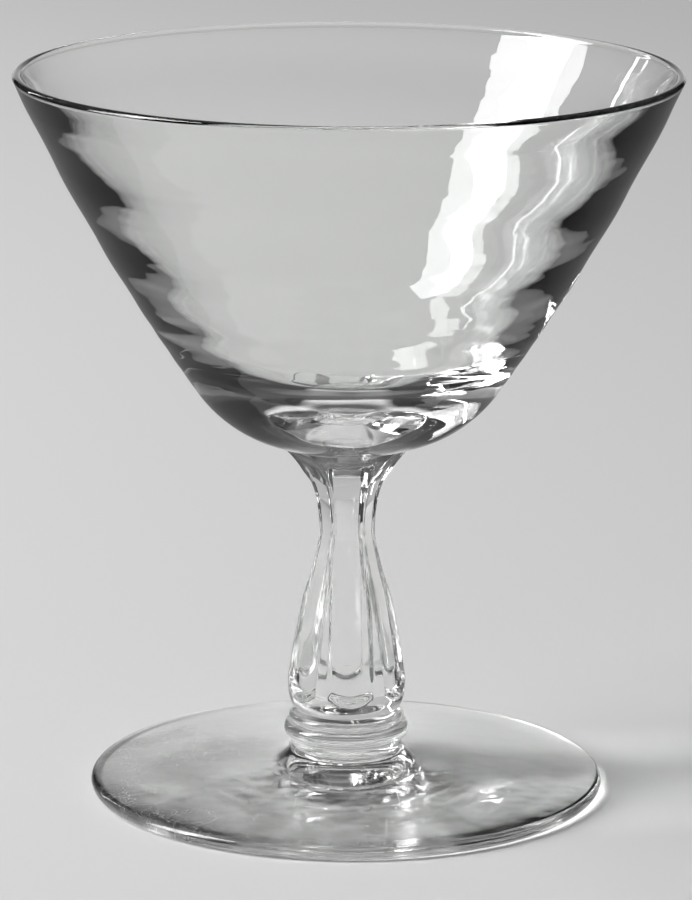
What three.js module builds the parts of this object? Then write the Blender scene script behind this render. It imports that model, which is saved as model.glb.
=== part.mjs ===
// Sherbet glass: a blown conical bowl on a pressed, panelled stem, a ringed knop and a broad foot.
// Millimetres, +Z up, origin in the middle of the plane that the foot rests on.
// The four pieces are gathers of clear glass fused one on the other: each seat is a flat face that both share.

import * as THREE from 'three';

// Foot: a disc with a rounded edge, a top that rises to the knop and a slightly hollow underside
const FOOT_DIAMETER = 76.7;
const FOOT_HEIGHT = 6.2;
const FOOT_EDGE_THICKNESS = 2.1;
const FOOT_FILLET_WIDTH = 4.0;
const FOOT_FILLET_HEIGHT = 1.3;
const FOOT_HOLLOW_DEPTH = 0.9;
const FOOT_LAND_WIDTH = 3.2;

// Ring knop: a short waist under a large ring, a smaller ring and a narrow neck
const KNOP_SEAT_DIAMETER = 16.2;
const KNOP_WAIST_HEIGHT = 1.5;
const LARGE_RING_DIAMETER = 18.7;
const LARGE_RING_HEIGHT = 2.3;
const SMALL_RING_DIAMETER = 17.2;
const SMALL_RING_HEIGHT = 1.5;
const RING_DEPTH = 0.8;
const KNOP_NECK_HEIGHT = 0.3;
const KNOP_NECK_DIAMETER = 14.0;

// Stem: a round blank pressed with slightly hollow panels, with a steep-sided rib between each two of them.
// The panels end in a scallop above the rounded lower end and run out under the bowl.
const STEM_LENGTH = 41.0;
const STEM_TOP_DIAMETER = 20.6;
const STEM_FLARE_HEIGHT = 5.1;
const STEM_WAIST_DIAMETER = 8.5;
const STEM_WAIST_HEIGHT = 26.8;
const STEM_BASE_DIAMETER = 17.6;
const STEM_BASE_HEIGHT = 4.6;
const STEM_SWELL = 0.8;
const PANEL_COUNT = 6;
const PANEL_TURN_DEGREES = 4.5;
const PANEL_WAIST_WIDTH = 4.1;
const PANEL_SPREAD = 0.15;
const PANEL_HOLLOW = 0.25;
const PANEL_FOOT_HEIGHT = 2.4;
const PANEL_FOOT_CURVE = 1.0;
const PANEL_RUN_OUT = 1.2;
const PANEL_TOP_RUN_OUT = 1.5;
const RIB_HEIGHT = 0.65;
const RIB_WAIST_HEIGHT = 0.13;
const RIB_GROWTH = 1.6;
const RIB_FLANK_WIDTH = 0.7;

// Bowl: a nearly straight cone on a rounded shoulder, with a wall that thickens from the rim to a heavy bottom
const BOWL_HEIGHT = 55.5;
const RIM_DIAMETER = 98.0;
const RIM_THICKNESS = 1.4;
const BOWL_SEAT_SLOPE_DEGREES = 13.3;
const BOWL_SHOULDER_RADIUS = 20.5;
const BOWL_WALL_RADIUS = 293.0;
const BOWL_FLOOR_THICKNESS = 7.2;
const BOWL_FLOOR_RADIUS = 40.0;
const BOWL_INNER_SHOULDER_RADIUS = 25.0;
const BOWL_INNER_WALL_RADIUS = 450.0;

// How finely the round shapes are divided
const ROUND_SEGMENTS = 64;
const SEGMENTS_PER_PANEL = 14;
const CURVE_STEPS = 6;
const STEM_STEPS = 12;
const TANGENT_ROUNDS = 30;

// Heights where one piece is fused to the next
const knopSeat = FOOT_HEIGHT;
const knopHeight = KNOP_WAIST_HEIGHT + LARGE_RING_HEIGHT + SMALL_RING_HEIGHT + KNOP_NECK_HEIGHT;
const stemSeat = knopSeat + knopHeight;
const bowlSeat = stemSeat + STEM_LENGTH;

const { degToRad: radians, lerp: mix, clamp, smoothstep } = THREE.MathUtils;
const at = (radius, height) => new THREE.Vector2(radius, height);

// A curve that leaves its start towards a corner and reaches its end from that corner
function sweep(start, corner, end, steps = CURVE_STEPS) {
  return new THREE.QuadraticBezierCurve(start, corner, end).getPoints(steps);
}

// Points along an arc that leaves a point at one slope and bends up to another
function bend(start, slope, endSlope, radius, steps = CURVE_STEPS) {
  const points = [];
  for (let i = 0; i <= steps; i += 1) {
    const here = mix(slope, endSlope, i / steps);
    points.push(at(
      start.x + radius * (Math.sin(here) - Math.sin(slope)),
      start.y + radius * (Math.cos(slope) - Math.cos(here)),
    ));
  }
  return points;
}

// The outer half of an ellipse about a middle, from its lowest point to its highest
function bulge(middle, depth, height) {
  const points = [];
  for (let i = 0; i <= CURVE_STEPS; i += 1) {
    const angle = Math.PI * (i / CURVE_STEPS - 0.5);
    points.push(at(middle.x + depth * Math.cos(angle), middle.y + height / 2 * Math.sin(angle)));
  }
  return points;
}

// A solid of revolution about Z, from a profile that starts and ends on the axis
function turned(profile, segments = ROUND_SEGMENTS, startAngle = 0) {
  return new THREE.LatheGeometry(profile, segments, startAngle).rotateX(Math.PI / 2);
}

function footGeometry() {
  const edgeRadius = FOOT_EDGE_THICKNESS / 2;
  const edgeMiddle = at(FOOT_DIAMETER / 2 - edgeRadius, edgeRadius);
  const landInner = edgeMiddle.x - FOOT_LAND_WIDTH;
  const seat = at(KNOP_SEAT_DIAMETER / 2, FOOT_HEIGHT);
  const slopeFoot = at(edgeMiddle.x, FOOT_EDGE_THICKNESS);
  const slopeHead = at(seat.x, FOOT_HEIGHT - FOOT_FILLET_HEIGHT);
  const filletStart = slopeHead.clone().lerp(slopeFoot, FOOT_FILLET_WIDTH / (slopeFoot.x - slopeHead.x));
  return turned([
    ...sweep(at(0, FOOT_HOLLOW_DEPTH), at(landInner / 2, FOOT_HOLLOW_DEPTH), at(landInner, 0)),
    ...bulge(edgeMiddle, edgeRadius, FOOT_EDGE_THICKNESS),
    ...sweep(filletStart, slopeHead, seat),
    at(0, FOOT_HEIGHT),
  ]);
}

function knopGeometry() {
  const largeMiddle = KNOP_WAIST_HEIGHT + LARGE_RING_HEIGHT / 2;
  const smallMiddle = KNOP_WAIST_HEIGHT + LARGE_RING_HEIGHT + SMALL_RING_HEIGHT / 2;
  const large = bulge(at(LARGE_RING_DIAMETER / 2 - RING_DEPTH, largeMiddle), RING_DEPTH, LARGE_RING_HEIGHT);
  const small = bulge(at(SMALL_RING_DIAMETER / 2 - RING_DEPTH, smallMiddle), RING_DEPTH, SMALL_RING_HEIGHT);
  return turned([
    at(0, 0),
    at(KNOP_SEAT_DIAMETER / 2, 0),
    ...large,
    ...small.slice(1),
    at(KNOP_NECK_DIAMETER / 2, knopHeight),
    at(0, knopHeight),
  ]);
}

// The round blank of the stem: the rounded lower end, the swelling body and the flare that takes the bowl
function stemBlank() {
  const neck = at(KNOP_NECK_DIAMETER / 2, 0);
  const base = at(STEM_BASE_DIAMETER / 2, STEM_BASE_HEIGHT);
  const waist = at(STEM_WAIST_DIAMETER / 2, STEM_WAIST_HEIGHT);
  const top = at(STEM_TOP_DIAMETER / 2, STEM_LENGTH);
  const swell = base.clone().lerp(waist, 0.5).add(at(STEM_SWELL, 0));
  return [
    at(0, 0),
    ...sweep(neck, at(base.x, neck.y), base),
    ...sweep(base, swell, waist, STEM_STEPS).slice(1),
    ...sweep(waist, at(waist.x, top.y - STEM_FLARE_HEIGHT), top, STEM_STEPS).slice(1),
    at(0, STEM_LENGTH),
  ];
}

// How far out the stem's surface lies, given the blank's radius and the angle from the middle of a panel
function pressedRadius(blank, height, fromPanel) {
  const beyondWaist = blank - STEM_WAIST_DIAMETER / 2;
  const rise = mix(RIB_WAIST_HEIGHT, RIB_HEIGHT, clamp(beyondWaist / RIB_GROWTH, 0, 1));
  const edge = blank - rise;
  const widest = edge * Math.sin(Math.PI / PANEL_COUNT);
  const halfWidth = Math.min(PANEL_WAIST_WIDTH / 2 + PANEL_SPREAD * beyondWaist, widest);
  const distance = Math.sqrt(edge ** 2 - halfWidth ** 2);
  const across = Math.min(1, distance * Math.tan(fromPanel) / halfWidth);
  const panel = (distance - PANEL_HOLLOW * (1 - across ** 2)) / Math.cos(fromPanel);
  const pastEdge = edge * (fromPanel - Math.asin(halfWidth / edge));
  const rib = edge + rise * smoothstep(pastEdge, 0, RIB_FLANK_WIDTH);
  const panelFoot = PANEL_FOOT_HEIGHT + PANEL_FOOT_CURVE * across ** 2;
  const footShare = smoothstep(height, panelFoot, panelFoot + PANEL_RUN_OUT);
  const topShare = clamp((STEM_LENGTH - height) / PANEL_TOP_RUN_OUT, 0, 1);
  return mix(blank, pastEdge < 0 ? panel : rib, footShare * topShare);
}

function stemGeometry() {
  const turn = radians(PANEL_TURN_DEGREES);
  const geometry = turned(stemBlank(), PANEL_COUNT * SEGMENTS_PER_PANEL, turn);
  const position = geometry.attributes.position;
  const panelAngle = 2 * Math.PI / PANEL_COUNT;
  const facing = turn - Math.PI / 2;
  for (let i = 0; i < position.count; i += 1) {
    const [x, y, height] = [position.getX(i), position.getY(i), position.getZ(i)];
    const blank = Math.hypot(x, y);
    const turns = (Math.atan2(y, x) - facing) / panelAngle;
    const fromPanel = Math.abs(turns - Math.round(turns)) * panelAngle;
    const pressed = blank > 0 ? pressedRadius(blank, height, fromPanel) / blank : 1;
    position.setXY(i, x * pressed, y * pressed);
  }
  return geometry;
}

// One side of the bowl: a shoulder that bends up from its start, then a wall that runs on smoothly to the rim
function bowlSide(start, slope, shoulderRadius, wallRadius, rim) {
  let wallSlope = rim.clone().sub(start).angle();
  let halfTurn = 0;
  for (let i = 0; i < TANGENT_ROUNDS; i += 1) {
    const chord = rim.clone().sub(bend(start, slope, wallSlope, shoulderRadius).at(-1));
    halfTurn = Math.asin(chord.length() / (2 * wallRadius));
    wallSlope = chord.angle() - halfTurn;
  }
  const shoulder = bend(start, slope, wallSlope, shoulderRadius);
  const wall = bend(shoulder.at(-1), wallSlope, wallSlope + 2 * halfTurn, wallRadius);
  return [...shoulder, ...wall.slice(1)];
}

function bowlGeometry() {
  const lip = RIM_THICKNESS / 2;
  const lipMiddle = at(RIM_DIAMETER / 2 - lip, BOWL_HEIGHT - lip);
  const lipOuter = lipMiddle.clone().add(at(lip, 0));
  const lipInner = lipMiddle.clone().sub(at(lip, 0));
  const seat = at(STEM_TOP_DIAMETER / 2, 0);
  const seatSlope = radians(BOWL_SEAT_SLOPE_DEGREES);
  const outer = bowlSide(seat, seatSlope, BOWL_SHOULDER_RADIUS, BOWL_WALL_RADIUS, lipOuter);
  const floor = bend(at(0, BOWL_FLOOR_THICKNESS), 0, seatSlope, BOWL_FLOOR_RADIUS);
  const inner = bowlSide(floor.at(-1), seatSlope, BOWL_INNER_SHOULDER_RADIUS, BOWL_INNER_WALL_RADIUS, lipInner);
  const lipArc = bend(lipOuter, Math.PI / 2, 3 * Math.PI / 2, lip);
  return turned([
    at(0, 0),
    ...outer,
    ...lipArc.slice(1, -1),
    ...inner.reverse(),
    ...floor.reverse().slice(1),
  ]);
}

function glass(color, roughness) {
  return new THREE.MeshStandardMaterial({ color, roughness, metalness: 0, transparent: true, opacity: 0.4 });
}

function piece(name, geometry, material, height) {
  const mesh = new THREE.Mesh(geometry, material);
  mesh.name = name;
  mesh.position.z = height;
  return mesh;
}

const sherbetGlass = new THREE.Group();
sherbetGlass.add(
  piece('foot', footGeometry(), glass('#e3e6e5', 0.06), 0),
  piece('ring_knop', knopGeometry(), glass('#dfe3e2', 0.05), knopSeat),
  piece('stem', stemGeometry(), glass('#dfe3e2', 0.05), stemSeat),
  piece('bowl', bowlGeometry(), glass('#e6e9e8', 0.03), bowlSeat),
);

export default sherbetGlass;
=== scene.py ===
import math

import bpy
import numpy as np
from mathutils import Matrix, Vector


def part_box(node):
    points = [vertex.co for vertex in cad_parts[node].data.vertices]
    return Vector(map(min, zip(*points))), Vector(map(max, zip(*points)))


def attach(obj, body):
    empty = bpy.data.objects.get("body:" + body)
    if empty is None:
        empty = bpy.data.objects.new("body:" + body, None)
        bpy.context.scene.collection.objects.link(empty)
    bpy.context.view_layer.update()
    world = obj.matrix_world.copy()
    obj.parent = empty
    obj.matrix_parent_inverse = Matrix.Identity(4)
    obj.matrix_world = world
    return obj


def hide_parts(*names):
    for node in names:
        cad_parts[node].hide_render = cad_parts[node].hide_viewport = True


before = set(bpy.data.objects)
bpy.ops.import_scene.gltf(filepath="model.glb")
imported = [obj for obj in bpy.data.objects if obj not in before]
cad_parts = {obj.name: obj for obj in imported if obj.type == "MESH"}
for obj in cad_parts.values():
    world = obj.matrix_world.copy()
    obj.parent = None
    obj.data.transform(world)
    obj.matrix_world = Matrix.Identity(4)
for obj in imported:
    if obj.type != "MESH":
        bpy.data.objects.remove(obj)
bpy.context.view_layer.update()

# The sherbet glass in clear glass: four gathers fused one on the other. Sizes are in millimetres, turned to
# metres where a mesh or an object is made. The seats' heights and the widest diameters come from the solids.
MM = 0.001


def node_top(node):
    """The height of a solid's highest point, in millimetres."""
    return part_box(node)[1][2] / MM


def node_radius(node):
    """Half the width of a solid, in millimetres."""
    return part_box(node)[1][0] / MM


# Foot
FOOT_RADIUS = node_radius("foot")
FOOT_TOP = node_top("foot")
FOOT_EDGE_THICKNESS = 2.1
FOOT_FILLET_WIDTH = 4.0
FOOT_FILLET_HEIGHT = 1.3
FOOT_HOLLOW_DEPTH = 0.9
FOOT_LAND_WIDTH = 3.2
KNOP_SEAT_RADIUS = 8.1

# Ring knop
KNOP_TOP = node_top("ring_knop")
KNOP_WAIST_HEIGHT = 1.5
LARGE_RING_RADIUS = node_radius("ring_knop")
LARGE_RING_HEIGHT = 2.3
SMALL_RING_RADIUS = 8.6
SMALL_RING_HEIGHT = 1.5
RING_DEPTH = 0.8
NECK_RADIUS = 7.0

# Stem
STEM_TOP = node_top("stem")
STEM_TOP_RADIUS = node_radius("stem")
STEM_FLARE_HEIGHT = 5.1
STEM_WAIST_RADIUS = 4.25
STEM_WAIST = KNOP_TOP + 26.8
STEM_BASE_RADIUS = 8.8
STEM_BASE = KNOP_TOP + 4.6
STEM_SWELL = 0.8
PANEL_COUNT = 6
PANEL_TURN = math.radians(4.5)
PANEL_WAIST_WIDTH = 4.1
PANEL_SPREAD = 0.15
PANEL_HOLLOW = 0.25
PANEL_FOOT = KNOP_TOP + 2.4
PANEL_FOOT_CURVE = 1.0
PANEL_RUN_OUT = 1.2
PANEL_TOP_RUN_OUT = 1.5
RIB_HEIGHT = 0.65
RIB_WAIST_HEIGHT = 0.13
RIB_GROWTH = 1.6
RIB_FLANK_WIDTH = 0.7

# Bowl
RIM_HEIGHT = node_top("bowl")
RIM_RADIUS = node_radius("bowl")
RIM_THICKNESS = 1.4
BOWL_SEAT_SLOPE = math.radians(13.3)
BOWL_SHOULDER_RADIUS = 20.5
BOWL_WALL_RADIUS = 293.0
BOWL_FLOOR_THICKNESS = 7.2
BOWL_FLOOR_RADIUS = 40.0
BOWL_INNER_SHOULDER_RADIUS = 25.0
BOWL_INNER_WALL_RADIUS = 450.0
TANGENT_ROUNDS = 30

# Rings that blowing leaves in the wall: the heights of their crests and of the hollows between, in turn, how
# far they stand out for their width, how far they lean down to the right, the share of them on the inside,
# where a crest comes inwards, and how far from the seat and the rim they begin and how soon they are full
RING_TURNS = (61.8, 63.1, 64.6, 66.3, 68.2, 69.8, 71.2, 74.6, 79.0, 83.5, 90.7, 94.8, 103.4, 108.7, 116.7)
RING_STEEPNESS = 0.008
RING_TILT = 0.052
RING_INSIDE = -0.2
RING_START = 4.0
RING_END = 1.0
RING_FADE = 4.0

# Finish of the glass: its colour and refractive index, the ream in the bowl's wall, the chill ripple of the
# pressed pieces, and the foot's grey clouds, more of them at the front and left, and its scuffs. Sizes are in
# millimetres, and clouds and scuffs start and are full at these heights of their patterns.
CLEAR = "#fcfdfc"
SODA_LIME_IOR = 1.52
REAM_WIDTH = 14.0
REAM_HEIGHT = 3.0
REAM_DEPTH = 0.045
CHILL_WIDTH = 4.0
CHILL_DEPTH = 0.02
CLOUD_GREY = "#dadad9"
WORN_ROUGHNESS = 0.10
WEAR_START = 0.50
WEAR_FULL = 0.75
CLOUD_WIDTH = 10.0
CLOUD_LEAN = (-3.0, -5.0, 0.0)
SCUFF_SIZE = 5.0
SCUFF_WIDTH = 0.06
SCUFF_ROUGHNESS = 0.55
SCUFF_PATCH = 18.0
SCUFF_LEAN = (-8.0, 0.0, 0.0)

# How finely the pieces are divided: around, along a curve, and along lines that need fewer or more steps
SIDES = 384
CURVE_STEPS = 24
KNOP_WAIST_STEPS = 6
SHOULDER_STEPS = 48
STEM_STEPS = 72
WALL_STEPS = 160


def sweep(start, corner, end, steps=CURVE_STEPS):
    """A curve that leaves its start towards a corner and reaches its end from that corner."""
    t = np.linspace(0, 1, steps + 1)[:, None]
    return (1 - t) ** 2 * np.array(start) + 2 * t * (1 - t) * np.array(corner) + t ** 2 * np.array(end)


def bend(start, slope, end_slope, radius, steps=CURVE_STEPS):
    """An arc that leaves a point at one slope and bends up to another."""
    here = np.linspace(slope, end_slope, steps + 1)
    across = start[0] + radius * (np.sin(here) - math.sin(slope))
    up = start[1] + radius * (math.cos(slope) - np.cos(here))
    return np.column_stack((across, up))


def bulge(middle, depth, height):
    """The outer half of an ellipse about a middle, from its lowest point to its highest."""
    angle = np.linspace(-math.pi / 2, math.pi / 2, CURVE_STEPS + 1)
    return np.column_stack((middle[0] + depth * np.cos(angle), middle[1] + height / 2 * np.sin(angle)))


def straight(start, end, steps=CURVE_STEPS):
    """Even points along a straight line."""
    t = np.linspace(0, 1, steps + 1)[:, None]
    return (1 - t) * np.array(start) + t * np.array(end)


def foot_profile():
    """The foot's outline: hollow underside, rounded edge, low slope and the fillet up to the knop."""
    edge = FOOT_EDGE_THICKNESS / 2
    edge_middle = (FOOT_RADIUS - edge, edge)
    land_inner = edge_middle[0] - FOOT_LAND_WIDTH
    slope_head = np.array((KNOP_SEAT_RADIUS, FOOT_TOP - FOOT_FILLET_HEIGHT))
    slope_foot = np.array((edge_middle[0], FOOT_EDGE_THICKNESS))
    share = FOOT_FILLET_WIDTH / (slope_foot[0] - slope_head[0])
    fillet_start = slope_head + share * (slope_foot - slope_head)
    return np.concatenate((
        sweep((0, FOOT_HOLLOW_DEPTH), (land_inner / 2, FOOT_HOLLOW_DEPTH), (land_inner, 0)),
        bulge(edge_middle, edge, FOOT_EDGE_THICKNESS),
        straight(slope_foot, fillet_start)[1:-1],
        sweep(fillet_start, slope_head, (KNOP_SEAT_RADIUS, FOOT_TOP)),
        [(0, FOOT_TOP)],
    ))


def knop_profile():
    """The knop's outline: a waist over the foot, the large ring, the small ring and the neck."""
    large_middle = FOOT_TOP + KNOP_WAIST_HEIGHT + LARGE_RING_HEIGHT / 2
    small_middle = large_middle + (LARGE_RING_HEIGHT + SMALL_RING_HEIGHT) / 2
    large = bulge((LARGE_RING_RADIUS - RING_DEPTH, large_middle), RING_DEPTH, LARGE_RING_HEIGHT)
    small = bulge((SMALL_RING_RADIUS - RING_DEPTH, small_middle), RING_DEPTH, SMALL_RING_HEIGHT)
    return np.concatenate((
        [(0, FOOT_TOP)],
        straight((KNOP_SEAT_RADIUS, FOOT_TOP), large[0], KNOP_WAIST_STEPS)[:-1],
        large,
        small[1:],
        [(NECK_RADIUS, KNOP_TOP), (0, KNOP_TOP)],
    ))


def stem_profile():
    """The round blank of the stem: its rounded lower end, the swelling up to the waist, and the flare."""
    base = np.array((STEM_BASE_RADIUS, STEM_BASE))
    waist = np.array((STEM_WAIST_RADIUS, STEM_WAIST))
    swell = (base + waist) / 2 + (STEM_SWELL, 0)
    flare = (STEM_WAIST_RADIUS, STEM_TOP - STEM_FLARE_HEIGHT)
    return np.concatenate((
        [(0, KNOP_TOP)],
        sweep((NECK_RADIUS, KNOP_TOP), (STEM_BASE_RADIUS, KNOP_TOP), base),
        sweep(base, swell, waist, STEM_STEPS)[1:],
        sweep(waist, flare, (STEM_TOP_RADIUS, STEM_TOP), STEM_STEPS)[1:],
        [(0, STEM_TOP)],
    ))


def ease(value, start, end):
    """A share that goes smoothly from 0 at the start to 1 at the end."""
    t = np.clip((value - start) / (end - start), 0, 1)
    return t * t * (3 - 2 * t)


def pressed_panels(radius, height, angle):
    """The stem's surface: hollow flats pressed into a round blank, with a steep-sided rib between each two.
    The flats end in a scallop above the rounded lower end and run out under the bowl."""
    panel_angle = 2 * math.pi / PANEL_COUNT
    turns = (angle - PANEL_TURN) / panel_angle
    from_panel = np.abs(turns - np.round(turns)) * panel_angle
    out = radius - STEM_WAIST_RADIUS
    rise = RIB_WAIST_HEIGHT + (RIB_HEIGHT - RIB_WAIST_HEIGHT) * np.clip(out / RIB_GROWTH, 0, 1)
    edge = radius - rise
    half = np.minimum(PANEL_WAIST_WIDTH / 2 + PANEL_SPREAD * out, edge * math.sin(panel_angle / 2))
    distance = np.sqrt(edge ** 2 - half ** 2)
    across = np.minimum(1, distance * np.tan(from_panel) / half)
    flat = (distance - PANEL_HOLLOW * (1 - across ** 2)) / np.cos(from_panel)
    beyond = edge * (from_panel - np.arcsin(half / edge))
    pressed = np.where(beyond < 0, flat, edge + rise * ease(beyond, 0, RIB_FLANK_WIDTH))
    foot = PANEL_FOOT + PANEL_FOOT_CURVE * across ** 2
    share = ease(height, foot, foot + PANEL_RUN_OUT) * np.clip((STEM_TOP - height) / PANEL_TOP_RUN_OUT, 0, 1)
    return radius + share * (pressed - radius), height


def bowl_side(start, slope, shoulder_radius, wall_radius, rim):
    """A shoulder that bends up from its start, then a wall that runs on to the rim with no corner."""
    rim = np.array(rim)
    wall_slope = math.atan2(*(rim - start)[::-1])
    for _ in range(TANGENT_ROUNDS):
        chord = rim - bend(start, slope, wall_slope, shoulder_radius)[-1]
        half_turn = math.asin(np.hypot(*chord) / (2 * wall_radius))
        wall_slope = math.atan2(chord[1], chord[0]) - half_turn
    shoulder = bend(start, slope, wall_slope, shoulder_radius, SHOULDER_STEPS)
    wall = bend(shoulder[-1], wall_slope, wall_slope + 2 * half_turn, wall_radius, WALL_STEPS)
    return np.concatenate((shoulder, wall[1:]))


def bowl_profile():
    """The bowl's outline: up its outside, over the rounded lip and down its inside to the thick floor."""
    lip = RIM_THICKNESS / 2
    lip_middle = (RIM_RADIUS - lip, RIM_HEIGHT - lip)
    outer = bowl_side(
        (STEM_TOP_RADIUS, STEM_TOP), BOWL_SEAT_SLOPE, BOWL_SHOULDER_RADIUS, BOWL_WALL_RADIUS,
        (RIM_RADIUS, lip_middle[1]))
    floor = bend((0, STEM_TOP + BOWL_FLOOR_THICKNESS), 0, BOWL_SEAT_SLOPE, BOWL_FLOOR_RADIUS)
    inner = bowl_side(
        floor[-1], BOWL_SEAT_SLOPE, BOWL_INNER_SHOULDER_RADIUS, BOWL_INNER_WALL_RADIUS,
        (RIM_RADIUS - RIM_THICKNESS, lip_middle[1]))
    lip_arc = bend((RIM_RADIUS, lip_middle[1]), math.pi / 2, 3 * math.pi / 2, lip)
    return np.concatenate(([(0, STEM_TOP)], outer, lip_arc[1:-1], inner[::-1], floor[::-1][1:]))


def blown_rings(radius, height, angle):
    """The bowl's wall with the rings of its blowing, which fade at the seat and the rim."""
    turns = np.array(RING_TURNS)
    level = height + RING_TILT * radius * np.sin(angle)
    phase = np.interp(level, turns, np.arange(len(turns)) / 2)
    width = 2 * np.interp(level, (turns[1:] + turns[:-1]) / 2, np.diff(turns))
    fade_in = np.clip((height - STEM_TOP - RING_START) / RING_FADE, 0, 1)
    fade_out = np.clip((RIM_HEIGHT - RING_END - height) / RING_FADE, 0, 1)
    outside = np.arange(len(radius))[:, None] <= np.argmax(radius[:, 0])
    share = np.where(outside, 1, RING_INSIDE) * fade_in * fade_out
    return radius + share * RING_STEEPNESS * width * np.cos(2 * math.pi * phase), height


def turned(name, profile, shape=None):
    """A closed body turned about the axis from a profile that starts and ends on it. Its first and last rows
    of faces, which meet at the axis, may be the seats where it is fused to its neighbours."""
    rows = profile[1:-1]
    angle = np.arange(SIDES) * 2 * math.pi / SIDES
    radius, around = np.meshgrid(rows[:, 0], angle, indexing="ij")
    height = np.repeat(rows[:, 1:], SIDES, axis=1)
    if shape:
        radius, height = shape(radius, height, around)
    rings = np.stack((radius * np.sin(around), -radius * np.cos(around), height), axis=-1).reshape(-1, 3)
    points = np.concatenate((rings, [(0, 0, profile[0, 1])], [(0, 0, profile[-1, 1])])) * MM
    low, high = len(rings), len(rings) + 1
    here = np.arange(SIDES)
    after = (here + 1) % SIDES
    start = np.arange(len(rows) - 1)[:, None] * SIDES
    quads = np.stack((start + here, start + after, start + SIDES + after, start + SIDES + here), axis=-1)
    last = (len(rows) - 1) * SIDES
    faces = [(low, b, a) for a, b in zip(here.tolist(), after.tolist())]
    faces += quads.reshape(-1, 4).tolist()
    faces += [(high, last + a, last + b) for a, b in zip(here.tolist(), after.tolist())]
    mesh = bpy.data.meshes.new(name)
    mesh.from_pydata(points.tolist(), [], faces)
    mesh.shade_smooth()
    piece = bpy.data.objects.new(name, mesh)
    bpy.context.scene.collection.objects.link(piece)
    return piece


def fuse(piece, finish, joint, seat_below, seat_above):
    """The piece's finish all over, and the fused joint on its seats, whose edges stay sharp."""
    mesh = piece.data
    mesh.materials.append(finish)
    mesh.materials.append(joint)
    count = len(mesh.polygons)
    seats = []
    if seat_below:
        seats += range(SIDES)
    if seat_above:
        seats += range(count - SIDES, count)
    slots = np.zeros(count, dtype=np.int32)
    slots[seats] = 1
    mesh.polygons.foreach_set("material_index", slots)
    smooth = np.ones(count, dtype=bool)
    smooth[seats] = False
    mesh.polygons.foreach_set("use_smooth", smooth)


def linear(colour):
    """An sRGB hex colour as linear RGBA."""
    parts = [int(colour[i:i + 2], 16) / 255 for i in (1, 3, 5)]
    return tuple(p / 12.92 if p <= 0.04045 else ((p + 0.055) / 1.055) ** 2.4 for p in parts) + (1.0,)


def add(tree, kind, sockets=None, **settings):
    """A node with its settings, its sockets set to a value or linked from another node's output."""
    node = tree.nodes.new(kind)
    for name, value in settings.items():
        setattr(node, name, value)
    for name, value in (sockets or {}).items():
        if isinstance(value, bpy.types.NodeSocket):
            tree.links.new(value, node.inputs[name])
        else:
            node.inputs[name].default_value = value
    return node


def new_material(name):
    """An empty material and its node tree."""
    material = bpy.data.materials.new(name)
    material.use_nodes = True
    material.node_tree.nodes.clear()
    return material, material.node_tree


def clear_glass(name, finish):
    """Clear soda-lime glass, with its usual refractive index and the finish that a piece gives it."""
    material, tree = new_material(name)
    surface = add(tree, "ShaderNodeBsdfPrincipled", {
        "Base Color": linear(CLEAR),
        "Roughness": 0.0,
        "IOR": SODA_LIME_IOR,
        "Transmission Weight": 1.0,
        **finish(tree),
    })
    add(tree, "ShaderNodeOutputMaterial", {"Surface": surface.outputs["BSDF"]})
    return material


def patches(tree, width, height, **settings):
    """Soft irregular patches of a width around the glass and a height up it."""
    place = add(tree, "ShaderNodeTexCoord")
    scaled = add(tree, "ShaderNodeMapping", {
        "Vector": place.outputs["Object"],
        "Scale": (1 / (width * MM), 1 / (width * MM), 1 / (height * MM)),
    })
    return add(tree, "ShaderNodeTexNoise", {"Vector": scaled.outputs["Vector"], "Scale": 1.0, **settings})


def blown(tree):
    """Mould-blown and fire polished: quite smooth, but the wall keeps ream from the gather, long shallow
    ripples around the bowl that make the edges of what it mirrors ragged."""
    ream = patches(tree, REAM_WIDTH, REAM_HEIGHT, Detail=1.0)
    bump = add(tree, "ShaderNodeBump", {"Height": ream.outputs["Fac"], "Distance": REAM_DEPTH * MM})
    return {"Normal": bump.outputs["Normal"]}


def pressed(tree):
    """Pressed and fire polished: the mould's chill leaves a faint ripple that breaks up the ribs' glints."""
    chill = patches(tree, CHILL_WIDTH, CHILL_WIDTH, Detail=1.0)
    bump = add(tree, "ShaderNodeBump", {"Height": chill.outputs["Fac"], "Distance": CHILL_DEPTH * MM})
    return {"Normal": bump.outputs["Normal"]}


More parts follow.
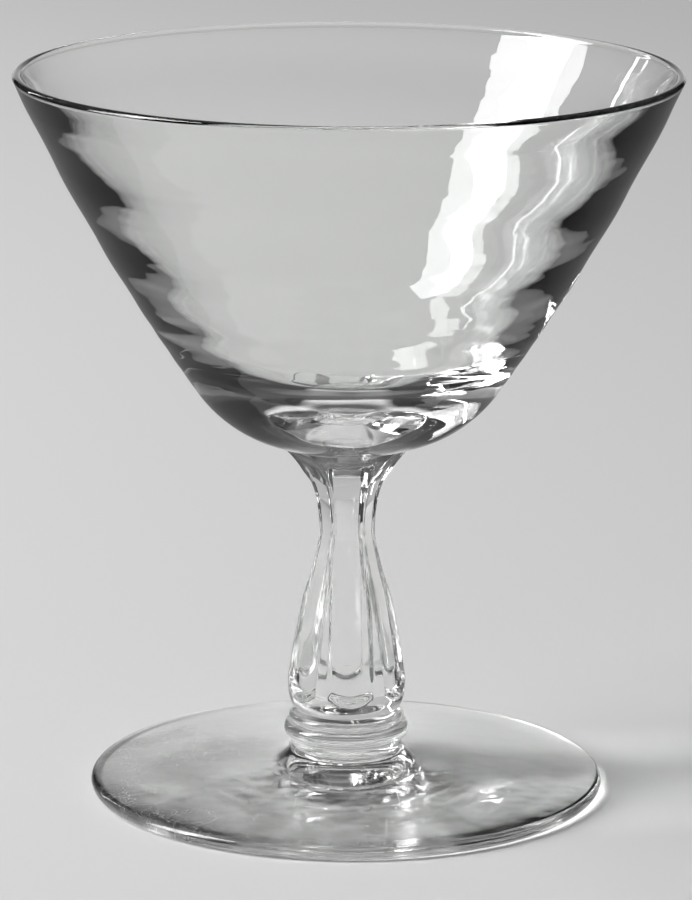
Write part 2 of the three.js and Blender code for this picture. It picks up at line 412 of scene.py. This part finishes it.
def worn(tree):
    """Pressed like the stem, then rubbed by use. Its scratches, a few hundredths of a millimetre wide, are
    drawn as scuffs coarser than they are. Clouds, more of them at the front and left, make the glass greyer
    and a little rough."""
    place = add(tree, "ShaderNodeTexCoord")
    clouds = patches(tree, CLOUD_WIDTH, CLOUD_WIDTH, Detail=3.0, Distortion=0.6)
    lean = add(tree, "ShaderNodeVectorMath", {
        0: place.outputs["Object"], 1: CLOUD_LEAN}, operation="DOT_PRODUCT")
    clouded = add(tree, "ShaderNodeMath", {0: clouds.outputs["Fac"], 1: lean.outputs["Value"]})
    dulled = add(tree, "ShaderNodeMapRange", {
        "Value": clouded.outputs["Value"], "From Min": WEAR_START, "From Max": WEAR_FULL})
    # Greyer base colour where the clouds are, and they lean to the front and left
    colour = add(tree, "ShaderNodeMix", {
        0: dulled.outputs["Result"], 6: linear(CLEAR), 7: linear(CLOUD_GREY)}, data_type="RGBA")
    wander = patches(tree, SCUFF_SIZE / 2, SCUFF_SIZE / 2, Detail=2.0)
    bent = add(tree, "ShaderNodeVectorMath", {
        0: wander.outputs["Color"], 1: (SCUFF_SIZE * MM,) * 3, 2: place.outputs["Object"],
    }, operation="MULTIPLY_ADD")
    lines = add(tree, "ShaderNodeTexVoronoi", {
        "Vector": bent.outputs["Vector"], "Scale": 1 / (SCUFF_SIZE * MM)}, feature="DISTANCE_TO_EDGE")
    line = add(tree, "ShaderNodeMapRange", {
        "Value": lines.outputs["Distance"], "From Max": SCUFF_WIDTH / SCUFF_SIZE,
        "To Min": 1.0, "To Max": 0.0})
    spread = patches(tree, SCUFF_PATCH, SCUFF_PATCH, Detail=2.0)
    side = add(tree, "ShaderNodeVectorMath", {
        0: place.outputs["Object"], 1: SCUFF_LEAN}, operation="DOT_PRODUCT")
    patch = add(tree, "ShaderNodeMath", {0: spread.outputs["Fac"], 1: side.outputs["Value"]})
    patchy = add(tree, "ShaderNodeMapRange", {
        "Value": patch.outputs["Value"], "From Min": WEAR_START, "From Max": WEAR_FULL})
    scuffed = add(tree, "ShaderNodeMath", {
        0: line.outputs["Result"], 1: patchy.outputs["Result"]}, operation="MULTIPLY")
    haze = add(tree, "ShaderNodeMath", {
        0: dulled.outputs["Result"], 1: WORN_ROUGHNESS}, operation="MULTIPLY")
    rough = add(tree, "ShaderNodeMath", {
        0: scuffed.outputs["Value"], 1: SCUFF_ROUGHNESS, 2: haze.outputs["Value"]}, operation="MULTIPLY_ADD")
    return {**pressed(tree), "Base Color": colour.outputs[2], "Roughness": rough.outputs["Value"]}


def fused_joint():
    """Where two gathers are fused there is no surface, so light passes the seats as if nothing were there."""
    material, tree = new_material("fused_joint")
    surface = add(tree, "ShaderNodeBsdfTransparent")
    add(tree, "ShaderNodeOutputMaterial", {"Surface": surface.outputs["BSDF"]})
    return material


blown_glass = clear_glass("mould_blown_soda_lime_glass", blown)
pressed_glass = clear_glass("fire_polished_pressed_glass", pressed)
worn_glass = clear_glass("worn_pressed_glass", worn)
joint = fused_joint()
for name, profile, shape, finish, slot, below, above in (
    ("foot", foot_profile(), None, worn_glass, "foot_glass", False, True),
    ("ring_knop", knop_profile(), None, pressed_glass, "pressed_glass", True, True),
    ("stem", stem_profile(), pressed_panels, pressed_glass, "pressed_glass", True, True),
    ("bowl", bowl_profile(), blown_rings, blown_glass, "blown_glass", True, False),
):
    piece = turned("clear_" + name, profile, shape)
    fuse(piece, finish, joint, below, above)
    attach(piece, "root")
    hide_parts(name)

# Stage: matt pale paper, lit from the left by a tall window and a smaller key lamp, with a thin strip of
# light further round. Lengths are in metres.
PAPER = "#dedede"
# Painted dark reflection: a ray mirrored in the glass that meets the floor behind it, outside a narrow strip
# straight behind, sees the floor in this grey; the camera and the lamps' light see it pale
PAINTED_REFLECTION_GREY = "#8c8c8c"
PALE_STRIP_HALF_WIDTH = 0.020
PALE_STRIP_BLEND = 0.010
PAPER_DROP = 0.00005
FLOOR_REACH = 3.0
FLOOR_BACK = 1.0

# What is around the table, by the direction in which it is seen: the pale backdrop, the sweep of paper
# behind, whose light falls off upwards and whose edge is several times as far back as aside, the dim sides of
# the room and its grey ceiling. Each range is where one gives way to the next, in a direction of length 1.
BACKDROP = "#bcbcbc"
ROOM = "#ffffff"
SWEEP_LOW = 0.85
SWEEP_HIGH = 0.09
SWEEP_UP = (0.08, 0.40)
SWEEP_NARROWNESS = 3.0
SWEEP_EDGE = (-0.1, 0.2)
ROOM_SIDES = 0.015
CEILING = 0.2
CEILING_UP = (0.72, 0.95)

# Counts of bounces are whole numbers, so those over this have at least one
HALF_A_BOUNCE = 0.5

# The photograph's camera, its lens and sensor in millimetres, its place in metres and its turns in radians,
# and the middles of the glass and of its bowl, which the lamps face
CAMERA_LENS = 194.28
CAMERA_SENSOR = 36.0
CAMERA_PLACE = (-0.000216, -0.70070, 0.21937)
CAMERA_PITCH = 0.23517
CAMERA_ROLL = 0.00397
GLASS_MIDDLE = (0, 0, 0.06)
BOWL_MIDDLE = (0, 0, 0.08)


def paper_floor():
    """Matt paper: pale and without gloss. Where a ray mirrored in the glass meets it behind the glass,
    outside a
    narrow strip, it is painted grey instead: a painted dark reflection that darkens the glass's mirrored
    edges."""
    material, tree = new_material("matt_paper_painted_dark_in_reflections")
    path = add(tree, "ShaderNodeLightPath")
    mirrored = add(tree, "ShaderNodeMath", {
        0: path.outputs["Glossy Depth"], 1: HALF_A_BOUNCE}, operation="GREATER_THAN")
    place = add(tree, "ShaderNodeNewGeometry")
    spot = add(tree, "ShaderNodeSeparateXYZ", {"Vector": place.outputs["Position"]})
    aside = add(tree, "ShaderNodeMath", {0: spot.outputs["X"]}, operation="ABSOLUTE")
    outside_pale_strip = add(tree, "ShaderNodeMapRange", {
        "Value": aside.outputs["Value"],
        "From Min": PALE_STRIP_HALF_WIDTH - PALE_STRIP_BLEND,
        "From Max": PALE_STRIP_HALF_WIDTH + PALE_STRIP_BLEND,
    })
    behind = add(tree, "ShaderNodeMath", {0: spot.outputs["Y"], 1: 0.0}, operation="GREATER_THAN")
    # Painted dark reflection: the floor turns grey only for mirrored rays, behind the glass and outside the
    # strip
    mirrored_behind = add(tree, "ShaderNodeMath", {
        0: mirrored.outputs["Value"], 1: behind.outputs["Value"]}, operation="MULTIPLY")
    painted_dark_reflection = add(tree, "ShaderNodeMath", {
        0: mirrored_behind.outputs["Value"], 1: outside_pale_strip.outputs["Result"]}, operation="MULTIPLY")
    paper = add(tree, "ShaderNodeBsdfDiffuse", {"Color": linear(PAPER)})
    reflected_dark = add(tree, "ShaderNodeBsdfDiffuse", {"Color": linear(PAINTED_REFLECTION_GREY)})
    surface = add(tree, "ShaderNodeMixShader", {
        0: painted_dark_reflection.outputs["Value"], 1: paper.outputs["BSDF"], 2: reflected_dark.outputs["BSDF"]})
    add(tree, "ShaderNodeOutputMaterial", {"Surface": surface.outputs["Shader"]})
    corners = ((-FLOOR_REACH, -FLOOR_REACH), (FLOOR_REACH, -FLOOR_REACH),
               (FLOOR_REACH, FLOOR_BACK), (-FLOOR_REACH, FLOOR_BACK))
    mesh = bpy.data.meshes.new("floor")
    mesh.from_pydata([(x, y, -PAPER_DROP) for x, y in corners], [], [(0, 1, 2, 3)])
    mesh.materials.append(material)
    floor = bpy.data.objects.new("floor", mesh)
    bpy.context.scene.collection.objects.link(floor)


def studio_world():
    """What is around the table. The camera and the rays that only pass through the glass see the pale
    backdrop. What is mirrored is the dim room, its ceiling and the sweep of paper behind."""
    world = bpy.data.worlds.new("studio")
    world.use_nodes = True
    tree = world.node_tree
    tree.nodes.clear()
    place = add(tree, "ShaderNodeTexCoord")
    way = add(tree, "ShaderNodeSeparateXYZ", {"Vector": place.outputs["Generated"]})
    aside = add(tree, "ShaderNodeMath", {0: way.outputs["X"]}, operation="ABSOLUTE")
    ahead = add(tree, "ShaderNodeMath", {
        0: aside.outputs["Value"], 1: -SWEEP_NARROWNESS, 2: way.outputs["Y"]}, operation="MULTIPLY_ADD")
    on_sweep = add(tree, "ShaderNodeMapRange", {
        "Value": ahead.outputs["Value"], "From Min": SWEEP_EDGE[0], "From Max": SWEEP_EDGE[1]})
    sweep_light = add(tree, "ShaderNodeMapRange", {
        "Value": way.outputs["Z"], "From Min": SWEEP_UP[0], "From Max": SWEEP_UP[1],
        "To Min": SWEEP_LOW, "To Max": SWEEP_HIGH})
    room_light = add(tree, "ShaderNodeMapRange", {
        "Value": way.outputs["Z"], "From Min": CEILING_UP[0], "From Max": CEILING_UP[1],
        "To Min": ROOM_SIDES, "To Max": CEILING})
    strength = add(tree, "ShaderNodeMix", {
        0: on_sweep.outputs["Result"], 2: room_light.outputs["Result"], 3: sweep_light.outputs["Result"]})
    room = add(tree, "ShaderNodeBackground", {"Color": linear(ROOM), "Strength": strength.outputs[0]})
    backdrop = add(tree, "ShaderNodeBackground", {"Color": linear(BACKDROP), "Strength": 1.0})
    path = add(tree, "ShaderNodeLightPath")
    bounces = add(tree, "ShaderNodeMath", {0: path.outputs["Diffuse Depth"], 1: path.outputs["Glossy Depth"]})
    straight_on = add(tree, "ShaderNodeMath", {
        0: bounces.outputs["Value"], 1: HALF_A_BOUNCE}, operation="LESS_THAN")
    seen = add(tree, "ShaderNodeMixShader", {
        0: straight_on.outputs["Value"], 1: room.outputs["Background"], 2: backdrop.outputs["Background"]})
    add(tree, "ShaderNodeOutputWorld", {"Surface": seen.outputs["Shader"]})
    bpy.context.scene.world = world


def studio_lamp(name, width, height, radiance, place, target):
    """A soft rectangular lamp with an even radiance, aimed at a point."""
    lamp = bpy.data.lights.new(name, "AREA")
    lamp.shape = "RECTANGLE"
    lamp.size = width
    lamp.size_y = height
    lamp.energy = radiance * math.pi * width * height
    piece = bpy.data.objects.new(name, lamp)
    piece.location = place
    piece.rotation_euler = (Vector(target) - Vector(place)).to_track_quat("-Z", "Y").to_euler()
    bpy.context.scene.collection.objects.link(piece)
    return piece


paper_floor()
studio_world()
studio_lamp(
    "window", width=0.85, height=1.7, radiance=10.7, place=(-1.64, -0.085, 1.165), target=GLASS_MIDDLE)
studio_lamp(
    "side_strip", width=0.03, height=0.5, radiance=10.0, place=(-0.70, 0.72, 0.35), target=BOWL_MIDDLE)
key = studio_lamp(
    "key", width=0.204, height=0.51, radiance=32.0, place=(-1.632, -0.204, 1.165), target=GLASS_MIDDLE)

# The thin foot lets the key lamp through, so it casts no shadow of it on the paper underneath
passes_key = bpy.data.collections.new("passes_key")
passes_key.objects.link(bpy.data.objects["clear_foot"])
passes_key.collection_objects[0].light_linking.link_state = "EXCLUDE"
key.light_linking.blocker_collection = passes_key

# Camera
camera_data = bpy.data.cameras.new("camera")
camera_data.lens = CAMERA_LENS
camera_data.sensor_width = CAMERA_SENSOR
camera = bpy.data.objects.new("camera", camera_data)
camera.matrix_world = (
    Matrix.Translation(CAMERA_PLACE)
    @ Matrix.Rotation(math.pi / 2 - CAMERA_PITCH, 4, "X")
    @ Matrix.Rotation(CAMERA_ROLL, 4, "Z"))
bpy.context.scene.collection.objects.link(camera)
bpy.context.scene.camera = camera
bpy.context.scene.view_settings.view_transform = "Standard"

# Light goes through many walls of glass, and what it gathers on the paper is kept
cycles = bpy.context.scene.cycles
cycles.max_bounces = 32
cycles.transmission_bounces = 32
cycles.glossy_bounces = 16
cycles.transparent_max_bounces = 32
cycles.blur_glossy = 0.0

bpy.context.view_layer.update()
